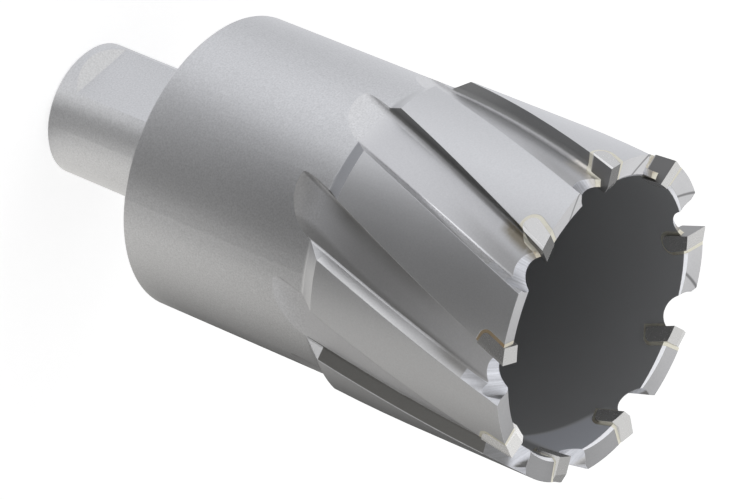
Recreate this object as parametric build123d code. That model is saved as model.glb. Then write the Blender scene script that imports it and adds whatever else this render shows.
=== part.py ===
from build123d import *
from math import atan, cos, degrees, pi, radians, sin, sqrt, tan
import os

os.makedirs("parts", exist_ok=True)

# Annular cutter with brazed carbide tips, standing on the end of its shank.
# Millimetres and degrees. The axis is Z, the shank's end is at z = 0 and the mouth is at the top.

# Shank with one drive flat
SHANK_DIA = 19.05
SHANK_LEN = 23.7
SHANK_CHAMFER = 0.6
FLAT_DEPTH = 1.65
FLAT_START = 1.8
FLAT_RAMP = 1.9
FLAT_ANGLE = -90.0
PILOT_DIA = 8.0
PILOT_CHAMFER = 0.5

# Turned body
CUT_DIA = 45.5
TIP_PROUD_OUT = 0.15
TIP_PROUD_IN = 0.35
TIP_PROUD_END = 0.4
LAND_HEIGHT = 1.6
PLAIN_LEN = 30.9
STEP_LEN = 2.6
STEP_FILLET = 1.0
LAND_LEN = 30.6
RIM_CHAMFER = 0.3
MOUTH_CHAMFER = 0.3
KERF = 3.6
BORE_DEPTH = 42.0
BORE_FILLET = 1.0

# Teeth and flutes
TEETH = 9
TOOTH_PHASE = -22.5
LEAD = 380.0
RAKE_PROUD = 0.2
FLUTE_DEPTH = 2.2
FLUTE_FLOOR_RISE = 0.55
FLUTE_WIDTH_MOUTH = 6.6
FLUTE_WIDTH_REAR = 8.35
FLUTE_SLOPE_RUN = 0.9
FLUTE_FILLET = 0.9
HEEL_FILLET = 0.4
RUNOUT_LEN = 9.4
RUNOUT_START = 1.4
RUNOUT_RADIUS = 30.0
FLUTE_SECTIONS = 14

# Gullets
GULLET_DEPTH = 2.7
GULLET_CENTRE = 1.85
GULLET_TIP_RADIUS = 2.25
GULLET_HEEL_RADIUS = 3.4
GULLET_SLOPE = 42.0
GULLET_REACH = 4.5

# Carbide tips and their braze
TIP_TILT = 11.0
TIP_LEN = 4.7
TIP_THICK = 2.05
TIP_CORNER = 0.8
BRAZE = 0.45
ROUND_TIP_LEN = 5.1
ROUND_TIP_THICK = 2.6
ROUND_TIP_CORNER = 1.15
ROUND_TIP_LEAN = 6.5
ROUND_TIP_BRAZE = 0.55
MARGIN_WIDTH = 0.45
RELIEF_ANGLE = 8.0

# Ground ends of the teeth and their tips
END_FALL_IN = 9.3
END_FALL_BACK = 1.2
TIP_FALL_IN = 6.0
TIP_FALL_BACK = 6.0
INNER_BEVEL_ANGLE = 28.0
INNER_BEVEL_WIDTH = 0.9
OUTER_BEVEL_ANGLE = 10.0
OUTER_BEVEL_WIDTH = 1.2
CORNER_ANGLE = 45.0
CORNER_WIDTH = 0.7

# How each tooth is tipped and ground, by its number
ROUND_TIPS = (6, 7, 8, 9)
INNER_BEVELLED_TIPS = (2, 8, 9)
OUTER_BEVELLED_TIPS = (3, 5)
CORNERED_TIPS = (4,)

# Sizes that follow from the ones above
shank_r = SHANK_DIA / 2
tip_r = CUT_DIA / 2
tip_inner_r = tip_r - KERF
land_r = tip_r - TIP_PROUD_OUT
plain_r = land_r - LAND_HEIGHT
bore_r = tip_inner_r + TIP_PROUD_IN
floor_r = land_r - FLUTE_DEPTH
step_foot_z = SHANK_LEN + PLAIN_LEN
step_top_z = step_foot_z + STEP_LEN
mouth_z = step_top_z + LAND_LEN
tip_z = mouth_z + TIP_PROUD_END
bore_floor_z = mouth_z - BORE_DEPTH
pitch = 360 / TEETH
twist = 360 / LEAD
helix = degrees(atan(2 * pi * tip_r / LEAD))
clear = 2.0


def at(radius, angle):
    """Point in plan at a radius and an angle in degrees."""
    return (radius * cos(radians(angle)), radius * sin(radians(angle)))


def tooth_angle(number):
    """Angle of a tooth's cutting corner, counted up against the clock seen from the mouth."""
    return TOOTH_PHASE + (number - 1) * pitch


# Turned blank: shank, plain body, sloping step, toothed part, bore and pilot bore

def turned_blank():
    """Profile of the turned steel, carried round the axis."""
    with BuildSketch(Plane.XZ.rotated((0, 0, TOOTH_PHASE))) as profile:
        with BuildLine():
            Polyline(
                (0, 0),
                (shank_r - SHANK_CHAMFER, 0),
                (shank_r, SHANK_CHAMFER),
                (shank_r, SHANK_LEN),
                (plain_r - RIM_CHAMFER, SHANK_LEN),
                (plain_r, SHANK_LEN + RIM_CHAMFER),
                (plain_r, step_foot_z),
                (land_r, step_top_z),
                (land_r, mouth_z + clear),
                (0, mouth_z + clear),
                close=True,
            )
        make_face()
        foot = profile.vertices().sort_by_distance((plain_r, step_foot_z))[0]
        fillet(foot, STEP_FILLET)
    return revolve(profile.sketch, Axis.Z)


def bores():
    """Bore for the slug and the pilot bore through the shank, as one turned tool."""
    pilot_r = PILOT_DIA / 2
    rim_z = mouth_z - (land_r - bore_r) * tan(radians(END_FALL_IN)) - MOUTH_CHAMFER
    with BuildSketch(Plane.XZ) as profile:
        with BuildLine():
            Polyline(
                (0, -clear),
                (pilot_r + PILOT_CHAMFER + clear, -clear),
                (pilot_r, PILOT_CHAMFER),
                (pilot_r, bore_floor_z),
                (bore_r, bore_floor_z),
                (bore_r, rim_z),
                (bore_r + KERF, rim_z + KERF),
                (0, rim_z + KERF),
                close=True,
            )
        make_face()
        corner = profile.vertices().sort_by_distance((bore_r, bore_floor_z))[0]
        fillet(corner, BORE_FILLET)
    return revolve(profile.sketch, Axis.Z)


def drive_flat():
    """Flat milled along the shank up to the shoulder, with a sloping run-in at its far end."""
    depth_r = shank_r - FLAT_DEPTH
    reach_r = shank_r + clear
    rise = FLAT_RAMP * (reach_r - depth_r) / FLAT_DEPTH
    side = Plane.XZ.rotated((0, 0, FLAT_ANGLE))
    with BuildSketch(side) as profile:
        with BuildLine():
            Polyline(
                (depth_r, SHANK_LEN),
                (depth_r, FLAT_START + FLAT_RAMP),
                (reach_r, FLAT_START + FLAT_RAMP - rise),
                (reach_r, SHANK_LEN),
                close=True,
            )
        make_face()
    return extrude(profile.sketch, amount=shank_r, both=True)


# Helical flutes between the lands

def flute_section(z, angle):
    """Section of one flute at height z: a radial wall, a floor that rises from it and a sloping heel."""
    lead_angle = angle - twist * (tip_z - z) - degrees(RAKE_PROUD / land_r)
    share = (mouth_z - z) / LAND_LEN
    width = FLUTE_WIDTH_MOUTH + (FLUTE_WIDTH_REAR - FLUTE_WIDTH_MOUTH) * share
    width_angle = degrees(width / land_r)
    foot_angle = degrees((width - FLUTE_SLOPE_RUN) / land_r)
    rise_z = max(0, step_top_z - RUNOUT_START - z)
    rise = RUNOUT_RADIUS - sqrt(RUNOUT_RADIUS ** 2 - rise_z ** 2)
    slope_foot_r = floor_r + FLUTE_FLOOR_RISE
    outer_r = land_r + clear
    wall_top = Vector(*at(outer_r, lead_angle))
    wall_foot = Vector(*at(floor_r + rise, lead_angle))
    slope_foot = Vector(*at(slope_foot_r + rise, lead_angle + foot_angle))
    full_foot = Vector(*at(slope_foot_r, lead_angle + foot_angle))
    heel = Vector(*at(land_r, lead_angle + width_angle))
    slope = (heel - full_foot).normalized()
    slope_top = slope_foot + slope * (outer_r - slope_foot_r)
    outline = FilletPolyline(wall_top, wall_foot, slope_foot, slope_top, radius=[FLUTE_FILLET, HEEL_FILLET])
    section = make_face(outline + Line(slope_top, wall_top))
    return Pos(0, 0, z) * section


def flute(number):
    """One flute, lofted through its sections from the run-out on the plain body to past the mouth."""
    rear = step_top_z - RUNOUT_LEN
    top = tip_z + clear
    heights = [rear + (top - rear) * i / FLUTE_SECTIONS for i in range(FLUTE_SECTIONS + 1)]
    return loft([flute_section(z, tooth_angle(number)) for z in heights])


# Ground gullets through the wall in front of each tip

def gullet(number):
    """One gullet: a round-bottomed notch that falls away outwards into its flute."""
    frame_angle = tooth_angle(number) + degrees(GULLET_CENTRE / bore_r)
    out = Vector(*at(1, frame_angle), 0)
    across = Vector(*at(1, frame_angle + 90), 0)
    wall = Plane(origin=out * bore_r + Vector(0, 0, tip_z), x_dir=across, z_dir=out)
    top = 2 * GULLET_REACH
    with BuildSketch(wall) as profile:
        with BuildLine():
            bottom = (0, -GULLET_DEPTH)
            tip_side = (-GULLET_TIP_RADIUS, GULLET_TIP_RADIUS - GULLET_DEPTH)
            heel_side = (GULLET_HEEL_RADIUS, GULLET_HEEL_RADIUS - GULLET_DEPTH)
            RadiusArc(tip_side, bottom, -GULLET_TIP_RADIUS)
            RadiusArc(bottom, heel_side, -GULLET_HEEL_RADIUS)
            Polyline(heel_side, (GULLET_HEEL_RADIUS, top), (-GULLET_TIP_RADIUS, top), tip_side)
        make_face()
    fall = out * cos(radians(GULLET_SLOPE)) - Vector(0, 0, 1) * sin(radians(GULLET_SLOPE))
    start = profile.sketch.moved(Location(fall * -GULLET_REACH))
    return extrude(start, amount=2 * GULLET_REACH, dir=fall)


# Seats, carbide tips and braze

def seat_plane(number):
    """Plane at the tip's outer corner, with X back from the rake face and Y up the helix."""
    angle = tooth_angle(number)
    outward = Vector(*at(1, angle - TIP_TILT), 0)
    forward = Vector(*at(1, angle - TIP_TILT + 90), 0)
    back = forward * -cos(radians(helix)) + Vector(0, 0, 1) * sin(radians(helix))
    corner = Vector(*at(tip_r, angle), tip_z) + outward * clear
    return Plane(origin=corner, x_dir=back, z_dir=-outward)


def seat(number, gap):
    """Prism of a tip's outline, grown by a gap on all its sides and run out past its end."""
    rounded = number in ROUND_TIPS
    length = ROUND_TIP_LEN if rounded else TIP_LEN
    thick = ROUND_TIP_THICK if rounded else TIP_THICK
    lean = radians(ROUND_TIP_LEAN if rounded else 0)
    corner = min(ROUND_TIP_CORNER if rounded else TIP_CORNER, 0.44 * thick)
    low = -length - gap
    rear = thick + gap * (1 + sin(lean)) / cos(lean)
    rear_top = rear - (clear - low) * tan(lean)
    with BuildSketch(seat_plane(number)) as profile:
        with BuildLine():
            Polyline((-gap, clear), (-gap, low), (rear, low), (rear_top, clear), close=True)
        make_face()
        fillet(profile.vertices().sort_by_distance((rear, low))[0], corner + gap)
        if rounded:
            fillet(profile.vertices().sort_by_distance((-gap, low))[0], corner + gap)
    return extrude(profile.sketch, amount=KERF + 3 * clear)


def rake_edge(number, drop):
    """Point on the outer edge of a tip's rake face, a length down the face from its corner."""
    frame = seat_plane(number)
    out = -frame.z_dir
    start = frame.origin - out * clear - frame.y_dir * drop
    along = start.X * out.X + start.Y * out.Y
    beyond = start.X ** 2 + start.Y ** 2 - tip_r ** 2
    return start + out * (sqrt(along ** 2 - beyond) - along)


def ground_plane(angle, radius, height, fall_in, fall_back):
    """Plane across a tooth's end at an angle, radius and height, falling inwards and backwards."""
    outward = Vector(*at(1, angle), 0)
    forward = Vector(*at(1, angle + 90), 0)
    normal = Vector(0, 0, 1) - outward * tan(radians(fall_in)) - forward * tan(radians(fall_back))
    return Plane(origin=Vector(*at(radius, angle), height), z_dir=normal)


def end_grind(number):
    """What is ground off the steel above one tooth, back to the gullet behind it."""
    ahead = tooth_angle(number) + degrees(GULLET_CENTRE / bore_r)
    behind = ahead - pitch
    middle = ahead - pitch / 2
    near = 0.8 * bore_r
    far = 1.2 * tip_r
    corners = [at(near, behind), at(far, behind), at(far, middle)]
    corners += [at(far, ahead), at(near, ahead), at(near, middle)]
    wedge = extrude(make_face(Polyline(*corners, close=True)), amount=4 * clear)
    plane = ground_plane(middle, land_r, mouth_z, END_FALL_IN, END_FALL_BACK)
    return split(Pos(0, 0, mouth_z - 2 * clear) * wedge, bisect_by=plane, keep=Keep.TOP)


def carbide_tip(number):
    """One tip: its outline through the wall, round outside and in, ground on its end and behind its margin."""
    angle = tooth_angle(number)
    ring = Cylinder(tip_r, mouth_z, align=(Align.CENTER, Align.CENTER, Align.MIN))
    ring -= Cylinder(tip_inner_r, mouth_z, align=(Align.CENTER, Align.CENTER, Align.MIN))
    tip = seat(number, 0) & Pos(0, 0, mouth_z / 2) * ring
    grinds = [ground_plane(angle, tip_r, tip_z, TIP_FALL_IN, TIP_FALL_BACK)]
    if number in INNER_BEVELLED_TIPS:
        ridge_r = tip_inner_r + INNER_BEVEL_WIDTH
        ridge_z = tip_z - (tip_r - ridge_r) * tan(radians(TIP_FALL_IN))
        grinds.append(ground_plane(angle, ridge_r, ridge_z, INNER_BEVEL_ANGLE, TIP_FALL_BACK))
    if number in OUTER_BEVELLED_TIPS:
        ridge_r = tip_r - OUTER_BEVEL_WIDTH
        ridge_z = tip_z - OUTER_BEVEL_WIDTH * tan(radians(TIP_FALL_IN))
        grinds.append(ground_plane(angle, ridge_r, ridge_z, -OUTER_BEVEL_ANGLE, TIP_FALL_BACK))
    if number in CORNERED_TIPS:
        ridge_r = tip_inner_r + CORNER_WIDTH
        ridge_z = tip_z - (tip_r - ridge_r) * tan(radians(TIP_FALL_IN))
        grinds.append(ground_plane(angle, ridge_r, ridge_z, CORNER_ANGLE, TIP_FALL_BACK))
    top = rake_edge(number, 0)
    low = rake_edge(number, TIP_LEN)
    middle = (top + low) * 0.5
    out = Vector(middle.X, middle.Y, 0).normalized()
    back = out.cross(top - low).normalized()
    relief_normal = out * cos(radians(RELIEF_ANGLE)) + back * sin(radians(RELIEF_ANGLE))
    grinds.append(Plane(origin=middle + back * MARGIN_WIDTH, z_dir=relief_normal))
    for plane in grinds:
        tip = split(tip, bisect_by=plane, keep=Keep.BOTTOM)
    return tip


# Cut the blank, then let each tip and its braze into it

numbers = range(1, TEETH + 1)
steel = turned_blank() - bores() - drive_flat()
steel -= [flute(number) for number in numbers]
steel -= [gullet(number) for number in numbers]
steel -= [end_grind(number) for number in numbers]

for number in numbers:
    pocket = seat(number, ROUND_TIP_BRAZE if number in ROUND_TIPS else BRAZE)
    tip = carbide_tip(number)
    filler = (steel & pocket) - seat(number, 0)
    steel -= pocket
    export_step(tip, f"parts/carbide_tip_{number}.step")
    export_step(filler, f"parts/braze_joint_{number}.step")
    print(number, "tip", len(tip.solids()), round(tip.volume, 2))
    print(number, "braze", len(filler.solids()), round(filler.volume, 2))

export_step(steel, "parts/cutter_body.step")
print("body", len(steel.solids()), round(steel.volume, 1))
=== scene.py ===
import math
from types import SimpleNamespace

import bpy
import numpy as np
from mathutils import Matrix, Vector

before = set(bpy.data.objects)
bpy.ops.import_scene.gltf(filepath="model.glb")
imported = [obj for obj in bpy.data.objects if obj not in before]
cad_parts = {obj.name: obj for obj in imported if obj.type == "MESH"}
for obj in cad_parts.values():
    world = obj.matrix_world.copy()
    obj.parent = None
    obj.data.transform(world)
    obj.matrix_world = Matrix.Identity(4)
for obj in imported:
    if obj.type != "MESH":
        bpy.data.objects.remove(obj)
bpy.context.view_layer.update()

# ---------------------------------------------------------------------------
# Camera. A long lens looks into the mouth from above, rolled so that the
# cutter, which stands on the end of its shank, seems to lie across the frame.
# ---------------------------------------------------------------------------

CAMERA_AZIMUTH = 40.2
CAMERA_ELEVATION = 31.411
CAMERA_ROLL = 112.673
CAMERA_DISTANCE = 0.69719
CAMERA_TARGET = (0.00042, 0.00427, 0.04990)
FOCAL_PIXELS = 5190.3
PHOTO_WIDTH = 750
SENSOR_WIDTH = 36
NEAREST_SEEN = 0.01


def camera_axes(azimuth, elevation, roll):
    """The camera's right, up and backward directions, as columns."""
    a, e, r = (math.radians(v) for v in (azimuth, elevation, roll))
    backward = Vector((math.sin(a) * math.cos(e), -math.cos(a) * math.cos(e), math.sin(e)))
    level = Vector((math.cos(a), math.sin(a), 0))
    upright = backward.cross(level)
    right = math.cos(r) * level + math.sin(r) * upright
    return Matrix((right, backward.cross(right), backward)).transposed()


axes = camera_axes(CAMERA_AZIMUTH, CAMERA_ELEVATION, CAMERA_ROLL)
stand = Vector(CAMERA_TARGET) + CAMERA_DISTANCE * axes.col[2]
lens = bpy.data.cameras.new("camera")
lens.sensor_width = SENSOR_WIDTH
lens.lens = FOCAL_PIXELS * SENSOR_WIDTH / PHOTO_WIDTH
lens.clip_start = NEAREST_SEEN
camera = bpy.data.objects.new("camera", lens)
camera.matrix_world = Matrix.Translation(stand) @ axes.to_4x4()
bpy.context.scene.collection.objects.link(camera)
bpy.context.scene.camera = camera
bpy.context.scene.view_settings.view_transform = "Standard"


# ---------------------------------------------------------------------------
# Steel body: one piece of turned and milled tool steel. The outside is ground
# to a satin finish, the flutes are milled and the bore is left dark.
# ---------------------------------------------------------------------------

class Signal:
    """A shader socket whose operators add the Math nodes that work a sum out."""

    def __init__(self, tree, socket=None):
        self.tree = tree
        self.socket = socket

    def node(self, kind, inputs=(), output=0, **settings):
        """A node of a type, with its settings, and its inputs by name or number."""
        made = self.tree.nodes.new(kind)
        for name, value in settings.items():
            if name == "stops":
                ends = made.color_ramp.elements
                for end, (place, grey) in ((ends[0], value[0]), (ends[1], value[-1])):
                    end.position = place
                    end.color = (grey, grey, grey, 1)
                for place, grey in value[1:-1]:
                    ends.new(place).color = (grey, grey, grey, 1)
            else:
                setattr(made, name, value)
        for name, value in dict(inputs).items():
            if isinstance(value, Signal):
                self.tree.links.new(value.socket, made.inputs[name])
            else:
                made.inputs[name].default_value = value
        return Signal(self.tree, made.outputs[output])

    def maths(self, operation, *others):
        inputs = dict(enumerate((self, *others)))
        return self.node("ShaderNodeMath", inputs, operation=operation)

    def __add__(self, other):
        return self.maths("ADD", other)

    __radd__ = __add__

    def __mul__(self, other):
        return self.maths("MULTIPLY", other)

    __rmul__ = __mul__

    def __sub__(self, other):
        return self.maths("SUBTRACT", other)

    def __rsub__(self, other):
        return (self * -1) + other

    def __truediv__(self, other):
        return self.maths("DIVIDE", other)

    def step(self, low, high):
        """0 below low and 1 above high, with a smooth rise between them."""
        inputs = {"Value": self, "From Min": low, "From Max": high}
        return self.node("ShaderNodeMapRange", inputs, interpolation_type="SMOOTHSTEP")

    def near(self, middle, full, gone):
        """1 within full of the middle and 0 beyond gone, with a smooth fall between them."""
        return 1 - (self - middle).maths("ABSOLUTE").step(full, gone)

    def facing(self, middle):
        """Cosine of the angle between this one and the middle: 1 there, -1 on the other side."""
        return (self - middle).maths("COSINE")

    def parts(self):
        """The X, Y and Z of a vector."""
        made = self.node("ShaderNodeSeparateXYZ", {0: self}).socket.node
        return [Signal(self.tree, made.outputs[i]) for i in range(3)]

    def noise(self, scale, detail=2.0, roughness=0.5):
        inputs = {"Vector": self, "Scale": scale, "Detail": detail, "Roughness": roughness}
        return self.node("ShaderNodeTexNoise", inputs)

    def blend(self, first, second):
        """Colour that goes from first to second as this signal goes from 0 to 1."""
        first, second = (c if isinstance(c, Signal) else (*c, 1) for c in (first, second))
        # Sockets 6 and 7 of a Mix node are its two colours, and output 2 is the mixed one
        inputs = {0: self, 6: first, 7: second}
        return self.node("ShaderNodeMix", inputs, output=2, data_type="RGBA")


def vector(x, y, z):
    """A vector made of three signals or numbers, the first of them a signal."""
    return x.node("ShaderNodeCombineXYZ", {0: x, 1: y, 2: z})


def new_material(name):
    """An empty Principled material, and its start: Object coordinates and the surface normal."""
    material = bpy.data.materials.new(name)
    material.use_nodes = True
    start = Signal(material.node_tree)
    shader = material.node_tree.nodes["Principled BSDF"]
    place = start.node("ShaderNodeTexCoord", output="Object")
    normal = start.node("ShaderNodeNewGeometry", output="Normal")
    return material, shader, place, normal


def feed(shader, **signals):
    """Links signals to the shader's sockets, whose names are written with _ for each space."""
    for name, signal in signals.items():
        signal.tree.links.new(signal.socket, shader.inputs[name.replace("_", " ")])


def give(node_name, material):
    """Puts a material in every slot of a CAD node."""
    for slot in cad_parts[node_name].material_slots:
        slot.material = material


# Sizes that the masks share with the CAD model, in metres
TEETH = 9
PITCH = 2 * math.pi / TEETH
TOOTH_PHASE = math.radians(-22.5)
LEAD = 0.380
STEP_TOP = 0.0572
MOUTH = 0.0878
TIP_TOP = 0.0882
PLAIN_RADIUS = 0.0210
LAND_RADIUS = 0.0226
CAP_RADIUS = 0.02275


def about_axis(place, normal):
    """A point's place, radius and angle, how it faces, and its turn from the first helix."""
    x, y, z = place.parts()
    nx, ny, nz = normal.parts()
    radius = (x * x + y * y).maths("SQRT")
    angle = y.maths("ARCTAN2", x)
    ahead = (ny * x - nx * y) / radius
    turn = angle + (TIP_TOP - z) * (2 * math.pi / LEAD) - TOOTH_PHASE + 4 * math.pi
    return SimpleNamespace(
        x=x, y=y, z=z, nx=nx, ny=ny, up=nz, radius=radius, angle=angle, ahead=ahead, turn=turn
    )


# Heights and radii between which a zone's mask rises or falls
FLUTED_FROM = (0.040, 0.041)
RUNOUT_RIM_TO = (0.0538, 0.0543)
BELOW_PLAIN = (PLAIN_RADIUS - 0.00006, PLAIN_RADIUS - 0.00002)
BELOW_LAND = (LAND_RADIUS - 0.00012, LAND_RADIUS - 0.00002)
LANDS_FROM = (STEP_TOP, STEP_TOP + 0.0001)
TOOTHED_FROM = (STEP_TOP - 0.003, STEP_TOP - 0.0025)
STEP_FROM = (STEP_TOP - 0.0034, STEP_TOP - 0.0030)
END_FROM = (MOUTH - 0.0015, MOUTH - 0.0012)
GULLET_FROM = (MOUTH - 0.0062, MOUTH - 0.0060)
CHAMFER_FROM = (MOUTH - 0.0035, MOUTH - 0.0034)
BORE_FROM = (0.040, 0.0403)
BORE_WITHIN = (0.0197, 0.0200)

# How much of a face's normal points a way where its mask starts, and where it is full
FLUTE_OUT = (0.1, 0.2)
RIM_UP = (0.04, 0.08)
SLOPE_BACK = (0.35, 0.5)
WALL_AHEAD = (0.6, 0.8)
STEP_DOWN = (0.2, 0.4)
END_UP = (0.95, 0.97)
GULLET_UP = (0.2, 0.3)
CHAMFER_IN = (0.4, 0.5)
CHAMFER_UP = (0.4, 0.5)
CHAMFER_BELOW_FLAT = (0.85, 0.9)
BORE_IN = (0.4, 0.6)
BORE_BELOW_UP = (0.3, 0.4)


def body_zones(at):
    """Masks for the body's faces, told apart by height, by radius and by the way they face."""
    outward = (at.nx * at.x + at.ny * at.y) / at.radius
    inward = outward * -1
    end = at.z.step(*END_FROM) * at.up.step(*END_UP)
    toothed = at.z.step(*TOOTHED_FROM)

    # A flute lies deeper than the plain back or the lands, or is the small rim of its run-out
    under_back = (1 - at.radius.step(*BELOW_PLAIN)) * at.z.step(*FLUTED_FROM)
    under_lands = (1 - at.radius.step(*BELOW_LAND)) * at.z.step(*LANDS_FROM)
    rim = at.up.step(*RIM_UP) * at.z.step(*FLUTED_FROM) * (1 - at.z.step(*RUNOUT_RIM_TO))
    milled = under_back.maths("MAXIMUM", rim).maths("MAXIMUM", under_lands)
    flute = milled * outward.step(*FLUTE_OUT)

    bevelled = inward.step(*CHAMFER_IN) * at.up.step(*CHAMFER_UP)
    bevelled = bevelled * (1 - at.up.step(*CHAMFER_BELOW_FLAT))
    bored = inward.step(*BORE_IN) * (1 - at.up.step(*BORE_BELOW_UP))
    return SimpleNamespace(
        toothed=toothed,
        end=end,
        flute=flute,
        slope=(at.ahead * -1).step(*SLOPE_BACK) * flute,
        wall=toothed * at.ahead.step(*WALL_AHEAD) * (1 - end),
        step=(at.up * -1).step(*STEP_DOWN) * at.z.step(*STEP_FROM),
        gullet=at.z.step(*GULLET_FROM) * at.up.step(*GULLET_UP) * (1 - end),
        chamfer=bevelled * at.z.step(*CHAMFER_FROM),
        bore=bored * at.z.step(*BORE_FROM) * (1 - at.radius.step(*BORE_WITHIN)),
    )


# Painted shade on the teeth of one side of the cutter, deepest on some of them, and on the step in
# front of one tooth: the turn at the middle of each, and the cosines of the angle from there
# between which it comes
SHADED_SIDE_MIDDLE, SHADED_SIDE_SPREAD = math.radians(40), (0.4, 0.85)
DARKEST_SIDE_MIDDLE, DARKEST_SIDE_SPREAD = math.radians(49), (0.92, 0.965)
SHADED_STEP_MIDDLE, SHADED_STEP_SPREAD = math.radians(351), (0.80, 0.95)

SATIN_STEEL = (0.61, 0.612, 0.62)
MILLED_STEEL = (0.58, 0.58, 0.59)
LIGHTER_RUNOUT = (0.66, 0.66, 0.665)
DARK_FLUTE_GREY = (0.30, 0.295, 0.29)
DEEP_SHADE_GREY = (0.13, 0.128, 0.122)
SLOPE_HIGHLIGHT_COLOUR = (0.98, 0.98, 0.99)
FLUTE_WALL_SHADE = (0.215, 0.215, 0.21)
STEP_FACE = (0.325, 0.33, 0.345)

# The run-outs, at the flutes' rear ends: the heights up to which they get painted shade on the
# shaded side, or are lighter on the other side
RUNOUT_SHADE, RUNOUT_SHADE_TO = 0.7, (0.0500, 0.0545)
LIGHTER_RUNOUT_TO = (0.0530, 0.0580)

# Painted shade in the flutes on the shaded side: how strong each part is, and between which heights
# and which arcs ahead of the flute's wall it comes or goes
EVEN_SHADE = 0.42
EVEN_SHADE_FROM = (0.054, 0.063)
EVEN_SHADE_TO = (0.066, 0.080)
WALL_FOOT_SHADE, WALL_FOOT_SHADE_LOSS = 0.95, 0.45
WALL_FOOT_SHADE_ARC = (0.0, 0.0035)
WALL_FOOT_SHADE_FROM = (0.0520, 0.0585)
WALL_FOOT_SHADE_THINS = (0.058, 0.063)
WALL_FOOT_SHADE_TO = (0.070, 0.079)
SLOPE_SHADE, SLOPE_SHADE_GAIN = 0.72, 0.28
SLOPE_SHADE_ARC = (0.0049, 0.0063)
SLOPE_SHADE_DARKENS = (0.068, 0.079)
SLOPE_SHADED_FROM = (0.0735, 0.0800)

# The edge where the painted shade beside the slope ends and its painted highlight band starts: its
# arc at one height, and how the arc shrinks with the height
SLOPE_EDGE_ARC, SLOPE_EDGE_HEIGHT = (0.0069, 0.0077), 0.067
SLOPE_EDGE_DRIFT = 0.05
SLOPE_HIGHLIGHT_BAND, SLOPE_HIGHLIGHT_LOSS = 0.7, 0.6
SLOPE_HIGHLIGHT_FADES = (0.066, 0.076)

# A darker streak, a painted shaded foot and a painted highlight line in the flutes on the lit side,
# in the same way. An arc of three numbers is a line's middle, and how far from there it is full,
# and gone.
MIDDLE_STREAK = 0.5
MIDDLE_STREAK_ARC = (0.0047, 0.0004, 0.0022)
MIDDLE_STREAK_FROM = (0.070, 0.082)
FOOT_SHADE, FOOT_SHADE_GAIN = 0.35, 0.35
FOOT_SHADE_ARC = (0.0003, 0.0011)
FOOT_SHADE_DARKENS = (0.060, 0.080)
SLOPE_HIGHLIGHT_ARC = (0.00645, 0.0003, 0.00075)
SLOPE_HIGHLIGHT_FROM = (0.066, 0.070)


def flute_colour(at, zones, shaded_side, darkest_side, arc):
    """The ground steel outside and the milled flutes, with painted shade and painted highlights in
    the flutes and painted shade on the step.
    """
    # Painted shade goes on the flutes on the shaded side; the clean ones are those on the lit side
    shaded_side_flutes = zones.flute * shaded_side * (1 - darkest_side)
    clean = zones.flute * (1 - shaded_side)

    # Painted shade in the flutes on the shaded side: an even darkening, a dark foot of the wall and
    # a dark streak beside the slope
    even = EVEN_SHADE * at.z.step(*EVEN_SHADE_FROM) * (1 - at.z.step(*EVEN_SHADE_TO))
    by_wall = WALL_FOOT_SHADE * at.z.step(*WALL_FOOT_SHADE_FROM)
    for loss in (WALL_FOOT_SHADE_THINS, WALL_FOOT_SHADE_TO):
        by_wall = by_wall - WALL_FOOT_SHADE_LOSS * at.z.step(*loss)
    by_wall = (1 - arc.step(*WALL_FOOT_SHADE_ARC)) * by_wall
    past_edge = (arc + (at.z - SLOPE_EDGE_HEIGHT) * SLOPE_EDGE_DRIFT).step(*SLOPE_EDGE_ARC)
    by_slope = arc.step(*SLOPE_SHADE_ARC) * (1 - past_edge)
    by_slope = by_slope * (SLOPE_SHADE + SLOPE_SHADE_GAIN * at.z.step(*SLOPE_SHADE_DARKENS))
    painted_shade = (even + by_wall).maths("MAXIMUM", by_slope).maths("MINIMUM", 1.0)
    painted_shade = painted_shade * (1 - zones.slope * (1 - at.z.step(*SLOPE_SHADED_FROM)))
    runout = RUNOUT_SHADE * (1 - at.z.step(*RUNOUT_SHADE_TO))
    flute_shade = (shaded_side_flutes * painted_shade).maths("MAXIMUM", shaded_side_flutes * runout)
    slope_highlight = zones.slope * shaded_side * (1 - darkest_side) * past_edge
    slope_highlight = slope_highlight * (SLOPE_HIGHLIGHT_BAND - SLOPE_HIGHLIGHT_LOSS * at.z.step(*SLOPE_HIGHLIGHT_FADES))

    # The flutes on the lit side: a faint darker streak along the middle, a painted shaded foot and
    # a painted highlight line by the land
    streak = MIDDLE_STREAK * at.z.step(*MIDDLE_STREAK_FROM) * arc.near(*MIDDLE_STREAK_ARC)
    foot = FOOT_SHADE + FOOT_SHADE_GAIN * at.z.step(*FOOT_SHADE_DARKENS)
    foot = (1 - arc.step(*FOOT_SHADE_ARC)) * foot
    land_highlight = zones.slope * (1 - shaded_side) * arc.near(*SLOPE_HIGHLIGHT_ARC) * at.z.step(*SLOPE_HIGHLIGHT_FROM)

    colour = zones.flute.blend(SATIN_STEEL, MILLED_STEEL)
    # The run-outs at the rear of the flutes on the lit side are lighter
    colour = (clean * (1 - at.z.step(*LIGHTER_RUNOUT_TO))).blend(colour, LIGHTER_RUNOUT)
    # Painted shade over the flutes on the shaded side, then the darker streak and the shaded foot
    # in the others
    colour = flute_shade.blend(colour, DARK_FLUTE_GREY)
    colour = (clean * streak.maths("MAXIMUM", foot)).blend(colour, DARK_FLUTE_GREY)
    # Painted highlights along the slopes: a bright line by the land and a bright band
    colour = land_highlight.maths("MAXIMUM", slope_highlight).blend(colour, SLOPE_HIGHLIGHT_COLOUR)
    # Painted shade: the slopes on the darkest side of the cutter are nearly black
    colour = (zones.slope * darkest_side).blend(colour, DEEP_SHADE_GREY)
    shaded = at.turn.facing(SHADED_STEP_MIDDLE).step(*SHADED_STEP_SPREAD)
    return (zones.step * shaded).blend(colour, STEP_FACE)


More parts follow.
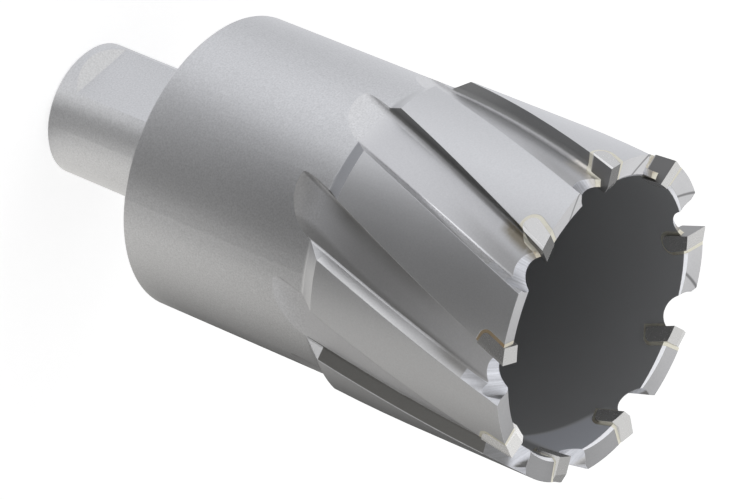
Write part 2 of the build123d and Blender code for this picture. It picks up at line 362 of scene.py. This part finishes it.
GULLET_GREY = 0.74
GULLET_LINES, GULLET_LINE_GRAIN = 0.9, (60, 3.0, 0.7)
GULLET_TINT = (1.02, 1.09)
DARKEST_GULLET_TO = (0.0845, 0.0857)
INNER_CHAMFER_HIGHLIGHT = (0.93, 0.94, 0.98)
END_GREY = 0.46
# Painted light and shade on the tooth ends: lighter on one side of the cutter and darker on the
# other
END_PAINTED_LIGHT, END_CLOUDS = 0.19, 0.25
END_BLUE = 1.02
PAINTED_LIGHT_END_MIDDLE, CREASED_SPREAD = math.radians(245), (0.0, 0.4)

# Painted shade along the ground crease across a tooth's end, only where the ends are lit: its angle
# ahead of the helix, and its lean with the radius
CREASE_ANGLE, CREASE_WIDTH = 0.314, (0.004, 0.020)
CREASE_LEAN, CREASE_RADIUS = 45, 0.022
CREASE_SHADE = 0.6

# The flux burnt on the steel beside a tip
BURNT_FLUX = (0.22, 0.185, 0.12)
PALE_FLUX = (0.80, 0.76, 0.70)
PALE_FLUX_MIDDLE, PALE_FLUX_SPREAD = math.radians(280), (0.85, 0.95)
FLUX = 0.8
FLUX_ARC = (0.0012, 0.0028)
FLUX_FROM = (0.0793, 0.0811)
FLUX_SPECKS, FLUX_SPECKS_SHOW = (500, 2.0), (0.15, 0.55)


def mouth_colour(at, zones, shaded_side, darkest_side, arc, place, cloud, colour):
    """What is ground at the mouth: gullets, tooth ends and chamfer, and flux beside the tips, with
    painted light, shade and highlights.
    """
    # Grinding lines run across the gullets
    lines = vector(at.angle, at.z * 2, at.radius * 0).noise(*GULLET_LINE_GRAIN)
    ground = GULLET_GREY + GULLET_LINES * (lines - 0.5)
    green, blue = (ground * tint for tint in GULLET_TINT)
    colour = zones.gullet.blend(colour, vector(ground, green, blue))
    # Painted shade in the gullets on the darkest side of the cutter
    darkest_gullet = zones.gullet * darkest_side * (1 - at.z.step(*DARKEST_GULLET_TO))
    colour = darkest_gullet.blend(colour, DEEP_SHADE_GREY)
    # Painted highlight: the chamfer inside the mouth is near white
    colour = zones.chamfer.blend(colour, INNER_CHAMFER_HIGHLIGHT)

    # Painted light and shade on the tooth ends, by their turn round the cutter
    painted_light_side = at.turn.facing(PAINTED_LIGHT_END_MIDDLE)
    leaning = at.turn.maths("MODULO", PITCH) - (CREASE_RADIUS - at.radius) * CREASE_LEAN
    # Painted shade along the crease, only on the lit ends
    crease = leaning.near(CREASE_ANGLE, *CREASE_WIDTH) * painted_light_side.step(*CREASED_SPREAD)
    grey = END_GREY + END_PAINTED_LIGHT * painted_light_side + END_CLOUDS * (cloud - 0.5)
    grey = grey * (1 - CREASE_SHADE * crease)
    colour = zones.end.blend(colour, vector(grey, grey, grey * END_BLUE))
    # Painted shade: the flute walls ahead of the teeth are darkened
    colour = zones.wall.blend(colour, FLUTE_WALL_SHADE)

    flux = (1 - arc.step(*FLUX_ARC)) * at.z.step(*FLUX_FROM) * (1 - zones.wall) * (1 - shaded_side)
    flux = flux * place.noise(*FLUX_SPECKS).step(*FLUX_SPECKS_SHOW)
    pale = at.turn.facing(PALE_FLUX_MIDDLE).step(*PALE_FLUX_SPREAD)
    return (flux * FLUX).blend(colour, pale.blend(BURNT_FLUX, PALE_FLUX))


DARK_BORE = (0.278, 0.282, 0.290)
PAINTED_LIT_BORE = (0.56, 0.58, 0.635)

# The painted pool of light in the bore: the height of its lower edge at one angle, the edge's
# climb, its sides
PAINTED_LIT_BORE_ANGLE = math.radians(63)
PAINTED_LIT_BORE_HEIGHT = 0.0798
PAINTED_LIT_BORE_CLIMB = 0.0074
PAINTED_LIT_BORE_EDGE = (-0.0005, 0.0007)
PAINTED_LIT_BORE_START = (0.98, 1.1)
PAINTED_LIT_BORE_STOP = (1.60, 1.74)


def bore_colour(at, zones, colour):
    """The bore's dark skin, and a painted pool of light on the part near the mouth."""
    edge = PAINTED_LIT_BORE_HEIGHT + (at.angle - PAINTED_LIT_BORE_ANGLE) * PAINTED_LIT_BORE_CLIMB
    painted_lit_patch = (at.z - edge).step(*PAINTED_LIT_BORE_EDGE)
    painted_lit_patch = painted_lit_patch * at.angle.step(*PAINTED_LIT_BORE_START) * (1 - at.angle.step(*PAINTED_LIT_BORE_STOP))
    colour = (zones.bore * (1 - painted_lit_patch)).blend(colour, DARK_BORE)
    return (zones.bore * painted_lit_patch).blend(colour, PAINTED_LIT_BORE)


# Marks and clouds in the steel: scale, detail and roughness of each noise
ROUND_MARKS = (5200, 2.0)
MILL_MARKS = (2600, 2.5)
CLOUD = (60, 3.0)
PITS = (2600, 2.0, 0.6)
GRAIN = (4200, 1.0, 0.5)
GRAIN_SHADE, GRAIN_SHADE_TOOTHED = 0.42, 0.27
STEEL_ROUGHNESS = 0.31
FLUTE_ROUGHER, BORE_ROUGHER, UNEVEN_ROUGHER = 0.06, 0.15, 0.08
BORE_LESS_METALLIC, GULLET_LESS_METALLIC = 0.7, 0.4
MARK_DEPTH, MARK_STRENGTH = 0.00002, 0.3
ROUND_MARK_SHARE = 0.4
WORN_EDGE = 0.00012


def steel_material():
    """Satin steel with round marks on the turned faces and milling marks along the flutes."""
    material, shader, place, normal = new_material("satin_tool_steel")
    at = about_axis(place, normal)
    zones = body_zones(at)
    arc = at.turn.maths("MODULO", PITCH) * CAP_RADIUS
    # Painted shade on the teeth of one side of the cutter, and on the darkest of them
    shaded_side = at.turn.facing(SHADED_SIDE_MIDDLE).step(*SHADED_SIDE_SPREAD)
    darkest_side = at.turn.facing(DARKEST_SIDE_MIDDLE).step(*DARKEST_SIDE_SPREAD)

    # The noises are drawn out round the axis for the turned faces, and along the flutes
    round_marks = vector(at.angle * 0.004, at.radius, at.z).noise(*ROUND_MARKS)
    mill_marks = vector(arc, at.z * 0.03, at.radius * 0.2).noise(*MILL_MARKS)
    cloud, pits, grain = (place.noise(*kind) for kind in (CLOUD, PITS, GRAIN))

    colour = flute_colour(at, zones, shaded_side, darkest_side, arc)
    colour = mouth_colour(at, zones, shaded_side, darkest_side, arc, place, cloud, colour)
    colour = bore_colour(at, zones, colour)
    shade = GRAIN_SHADE - GRAIN_SHADE_TOOTHED * zones.toothed
    shade = 1 + shade * (grain - 0.5) * (1 - zones.bore)
    colour = colour.node("ShaderNodeVectorMath", {0: colour, 1: shade}, operation="MULTIPLY")

    rough = STEEL_ROUGHNESS + FLUTE_ROUGHER * zones.flute + BORE_ROUGHER * zones.bore
    rough = rough + UNEVEN_ROUGHER * (cloud - 0.5) + UNEVEN_ROUGHER * (pits - 0.5)
    turned = round_marks * ROUND_MARK_SHARE + pits
    height = turned * (1 - zones.flute) + mill_marks * zones.flute
    worn = place.node("ShaderNodeBevel", {"Radius": WORN_EDGE}, samples=4)
    bumps = {"Height": height, "Strength": MARK_STRENGTH, "Distance": MARK_DEPTH, "Normal": worn}
    feed(
        shader,
        Metallic=1 - BORE_LESS_METALLIC * zones.bore - GULLET_LESS_METALLIC * zones.gullet,
        Base_Color=colour,
        Roughness=rough,
        Normal=height.node("ShaderNodeBump", bumps),
    )
    return material


give("cutter_body", steel_material())


# ---------------------------------------------------------------------------
# Carbide tips: nine pieces of sintered carbide, ground all over to a fine satin and much darker on
# the rake faces, with painted light and shade of each tip's own on its faces.
# ---------------------------------------------------------------------------

CARBIDE_METALLIC = 0.85
CARBIDE_ROUGHNESS, RAKE_ROUGHER, CARBIDE_UNEVEN = 0.26, 0.10, 0.08
CARBIDE_WARMTH = (1, 0.993, 0.98)
RAKE_AHEAD = (0.75, 0.85)
TIP_END_UP = (0.9, 0.95)
MARGIN = 0.00045
MARGIN_EDGE = (MARGIN - 0.00006, MARGIN + 0.00004)
MARGIN_BELOW_UP = (0.5, 0.6)
GRIND, GRIND_GRAIN = (2500, 2.0), (9000, 2.0)
GRIND_DEPTH, GRIND_STRENGTH = 0.00001, 0.15

# Painted light and shade of each tip, by its number: how light its round side, its margin, its end
# and its rake face are
TIP_LIGHT_AND_SHADE = {
    1: (0.39, 0.39, 0.53, 0.22),
    2: (0.93, 0.93, 0.75, 0.22),
    3: (0.64, 0.64, 0.39, 0.22),
    4: (0.64, 0.64, 0.64, 0.22),
    5: (0.64, 0.64, 0.64, 0.22),
    6: (0.64, 0.64, 0.64, 0.30),
    7: (0.64, 0.64, 0.64, 0.16),
    8: (0.64, 0.93, 0.14, 0.18),
    9: (0.73, 0.93, 0.115, 0.22),
}


def carbide_grey(lightness):
    """The slightly warm grey of ground carbide."""
    return tuple(lightness * share for share in CARBIDE_WARMTH)


def carbide_material(name, *painted_tones):
    """Ground carbide with painted light and shade: how light its round side, its margin, its end
    and its rake face are.
    """
    side, margin_side, end, rake_face = (carbide_grey(lightness) for lightness in painted_tones)
    material, shader, place, normal = new_material(name)
    at = about_axis(place, normal)
    rake = at.ahead.step(*RAKE_AHEAD)
    behind_arc = (PITCH - at.turn.maths("MODULO", PITCH)) * CAP_RADIUS
    margin = (1 - behind_arc.step(*MARGIN_EDGE)) * (1 - at.up.step(*MARGIN_BELOW_UP))
    colour = at.up.step(*TIP_END_UP).blend(side, end)
    colour = margin.blend(colour, margin_side)
    colour = rake.blend(colour, rake_face)

    grind = vector(at.x, at.y, at.z * 6).noise(*GRIND)
    height = grind + place.noise(*GRIND_GRAIN) * 0.5
    bumps = {"Height": height, "Strength": GRIND_STRENGTH, "Distance": GRIND_DEPTH}
    rough = CARBIDE_ROUGHNESS + RAKE_ROUGHER * rake + CARBIDE_UNEVEN * (grind - 0.5)
    shader.inputs["Metallic"].default_value = CARBIDE_METALLIC
    feed(shader, Base_Color=colour, Roughness=rough, Normal=height.node("ShaderNodeBump", bumps))
    return material


for number, painted_tones in TIP_LIGHT_AND_SHADE.items():
    give(f"carbide_tip_{number}", carbide_material(f"lit_and_shaded_carbide_{number}", *painted_tones))


# ---------------------------------------------------------------------------
# Braze joints: the thin silver-brass filler round each tip, pale gold where
# it is clean and brown where the flux has burnt.
# ---------------------------------------------------------------------------

BRAZE_METALLIC = 0.85
BRAZE_ROUGHNESS, BRAZE_UNEVEN = 0.38, 0.25
BRAZE_CLOUD, BRAZE_BROWNS = (380, 4.0, 0.7), (0.48, 0.78)
BRAZE_SKIN, BRAZE_SKIN_DEPTH, BRAZE_SKIN_STRENGTH = (2500, 3.0), 0.00003, 0.5
GROUND_TOP, GROUND_TOP_UP = 0.8, (0.90, 0.95)
CLEAN_BRAZE = (0.76, 0.735, 0.63)
BROWN_BRAZE = (0.42, 0.33, 0.22)
BURNT_BRAZE = (0.48, 0.30, 0.14)
BURNT_JOINTS = (1,)


def braze_material(name, clean, brown):
    """Cast braze that goes from its clean colour to its brown one, and is ground clean on top."""
    material, shader, place, normal = new_material(name)
    up = normal.parts()[2]
    cloud = place.noise(*BRAZE_CLOUD)
    colour = cloud.step(*BRAZE_BROWNS).blend(clean, brown)
    colour = (GROUND_TOP * up.step(*GROUND_TOP_UP)).blend(colour, CLEAN_BRAZE)
    rough = BRAZE_ROUGHNESS + BRAZE_UNEVEN * (cloud - 0.5)
    skin = place.noise(*BRAZE_SKIN)
    bumps = {"Height": skin, "Strength": BRAZE_SKIN_STRENGTH, "Distance": BRAZE_SKIN_DEPTH}
    shader.inputs["Metallic"].default_value = BRAZE_METALLIC
    feed(shader, Base_Color=colour, Roughness=rough, Normal=cloud.node("ShaderNodeBump", bumps))
    return material


clean_braze = braze_material("silver_braze", CLEAN_BRAZE, BROWN_BRAZE)
burnt_braze = braze_material("burnt_braze", BROWN_BRAZE, BURNT_BRAZE)
for number in range(1, TEETH + 1):
    give(f"braze_joint_{number}", burnt_braze if number in BURNT_JOINTS else clean_braze)


# ---------------------------------------------------------------------------
# Studio: a white floor and backdrop, two soft boxes, and a board on the
# floor whose grey zones give the satin steel its soft bands.
# ---------------------------------------------------------------------------

FLOOR_SIZE = 6.0
FLOOR_GREY = 0.80
FLOOR_GLOW = 0.55
FLOOR_ROUGHNESS = 0.9
WORLD_LIGHT = 0.55


def even_grey(lightness):
    return (lightness, lightness, lightness)


def backdrop_share(start):
    """1 for rays from the camera, a gloss or through glass, and 0 for the rest."""
    path = start.node("ShaderNodeLightPath").socket.node
    names = ("Is Camera Ray", "Is Glossy Ray", "Is Transmission Ray")
    seen, glossy, through = (Signal(start.tree, path.outputs[name]) for name in names)
    return seen.maths("MAXIMUM", glossy).maths("MAXIMUM", through)


world = bpy.data.worlds.new("studio")
bpy.context.scene.world = world
world.use_nodes = True
sky = backdrop_share(Signal(world.node_tree)).blend(even_grey(WORLD_LIGHT), even_grey(1.0))
feed(world.node_tree.nodes["Background"], Color=sky)


def flat_card(name, centre, across, along, material):
    """A rectangle with its middle at centre, spanned by two half-side vectors."""
    c, u, v = (np.array(p, float) for p in (centre, across, along))
    corners = [c - u - v, c + u - v, c + u + v, c - u + v]
    mesh = bpy.data.meshes.new(name)
    mesh.from_pydata([tuple(p) for p in corners], [], [(0, 1, 2, 3)])
    mesh.materials.append(material)
    card = bpy.data.objects.new(name, mesh)
    bpy.context.scene.collection.objects.link(card)
    return card


def level_square(name, side, height, material):
    """A flat card that lies level round the cutter's axis."""
    return flat_card(name, (0, 0, height), (side / 2, 0, 0), (0, side / 2, 0), material)


def leave_to_reflections(card):
    """Hides a card from the camera and from soft light, and takes its shadow away."""
    card.visible_camera = False
    card.visible_diffuse = False
    card.visible_shadow = False


def floor_material():
    """Matt white that glows where the camera or a reflection sees it, as the sky does."""
    material, shader, place, _ = new_material("white_floor")
    shader.inputs["Base Color"].default_value = (*even_grey(FLOOR_GREY), 1)
    shader.inputs["Roughness"].default_value = FLOOR_ROUGHNESS
    shader.inputs["Specular IOR Level"].default_value = 0.0
    shader.inputs["Emission Strength"].default_value = 1.0
    feed(shader, Emission_Color=backdrop_share(place).blend(even_grey(0.0), even_grey(FLOOR_GLOW)))
    return material


level_square("floor", FLOOR_SIZE, 0, floor_material())

# The board lies on the floor round the cutter and only reflections see it. It has three rings about
# the axis, and in each the light goes by the share of a turn from behind the cutter.
BOARD_SIZE = 0.9
BOARD_LIFT = 0.0003
OUTER_RING_FROM = (0.030, 0.055)
FAR_RING_FROM = (0.075, 0.105)
COOL_SIDE = (0.985, 0.995, 1.03)
WARM_SIDE = (1.02, 1.005, 0.975)
WARM_FROM = (0.35, 0.75)
BOARD_LIGHT_NEAR_SHANK = (
    (0.00, 0.90),
    (0.11, 0.94),
    (0.22, 0.80),
    (0.32, 0.92),
    (0.43, 0.88),
    (0.49, 0.92),
    (0.54, 0.42),
    (0.585, 0.45),
    (0.63, 0.72),
    (0.68, 0.86),
    (0.80, 0.84),
    (1.00, 0.84),
)
BOARD_LIGHT = (
    (0.00, 0.95),
    (0.22, 0.78),
    (0.32, 0.99),
    (0.375, 0.92),
    (0.43, 0.57),
    (0.486, 0.39),
    (0.54, 0.30),
    (0.58, 0.30),
    (0.625, 0.55),
    (0.68, 0.74),
    (0.736, 0.64),
    (0.83, 0.30),
    (0.92, 0.05),
    (1.00, 0.05),
)
BOARD_LIGHT_FAR = (
    (0.00, 0.95),
    (0.22, 0.85),
    (0.32, 1.07),
    (0.40, 0.86),
    (0.45, 0.36),
    (0.50, 0.20),
    (0.54, 0.18),
    (0.59, 0.19),
    (0.64, 0.37),
    (0.69, 0.55),
    (0.75, 0.54),
    (0.83, 0.28),
    (0.92, 0.05),
    (1.00, 0.05),
)


def board_material():
    """Light that the board throws back, by its share of a turn and its distance from the axis."""
    material, shader, place, _ = new_material("grey_board")
    x, y, _ = place.parts()
    behind = math.radians(CAMERA_AZIMUTH + 90)
    turned_x = x * math.cos(behind) + y * math.sin(behind)
    turned_y = y * math.cos(behind) - x * math.sin(behind)
    share = 0.5 + (turned_y * -1).maths("ARCTAN2", turned_x * -1) / (2 * math.pi)
    near_shank, outer, far = (
        share.node("ShaderNodeValToRGB", {"Fac": share}, stops=stops)
        for stops in (BOARD_LIGHT_NEAR_SHANK, BOARD_LIGHT, BOARD_LIGHT_FAR)
    )
    away = (x * x + y * y).maths("SQRT")
    light = away.step(*OUTER_RING_FROM).blend(near_shank, outer)
    light = away.step(*FAR_RING_FROM).blend(light, far)
    tint = share.step(*WARM_FROM).blend(COOL_SIDE, WARM_SIDE)
    light = light.node("ShaderNodeVectorMath", {0: light, 1: tint}, operation="MULTIPLY")
    shader.inputs["Base Color"].default_value = (0, 0, 0, 1)
    shader.inputs["Specular IOR Level"].default_value = 0.0
    shader.inputs["Emission Strength"].default_value = 1.0
    feed(shader, Emission_Color=light)
    return material


leave_to_reflections(level_square("grey_board", BOARD_SIZE, BOARD_LIFT, board_material()))


def on_compass(offset, distance, height):
    """A place at an angle from the camera's side, counted against the clock from above."""
    a = math.radians(CAMERA_AZIMUTH - 90 + offset)
    return Vector((distance * math.cos(a), distance * math.sin(a), height))


# A dark flag stands far behind the lower flutes, where only reflections see it
FLAG_OFFSET = 158
FLAG_DISTANCE = 0.47
FLAG_HALF_WIDTH = 0.12
FLAG_HALF_HEIGHT = 0.17
FLAG_GREY = 0.02

felt, shader, _, _ = new_material("dark_flag")
shader.inputs["Base Color"].default_value = (*even_grey(FLAG_GREY), 1)
shader.inputs["Roughness"].default_value = 1.0
middle = on_compass(FLAG_OFFSET, FLAG_DISTANCE, FLAG_HALF_HEIGHT)
across = on_compass(FLAG_OFFSET - 90, FLAG_HALF_WIDTH, 0)
flag = flat_card("dark_flag", middle, across, (0, 0, FLAG_HALF_HEIGHT), felt)
leave_to_reflections(flag)

LAMP_AIM = Vector((0, 0, 0.05))


def soft_box(name, offset, distance, height, size, power):
    """A square area lamp that faces the cutter."""
    lamp = bpy.data.lights.new(name, "AREA")
    lamp.shape = "SQUARE"
    lamp.size = size
    lamp.energy = power
    box = bpy.data.objects.new(name, lamp)
    place = on_compass(offset, distance, height)
    box.location = place
    box.rotation_euler = (place - LAMP_AIM).to_track_quat("Z", "Y").to_euler()
    box.visible_glossy = False
    bpy.context.scene.collection.objects.link(box)


soft_box("key_light", offset=-70, distance=0.9, height=0.9, size=0.8, power=1.9)
soft_box("fill_light", offset=60, distance=1.0, height=0.8, size=0.8, power=1.2)
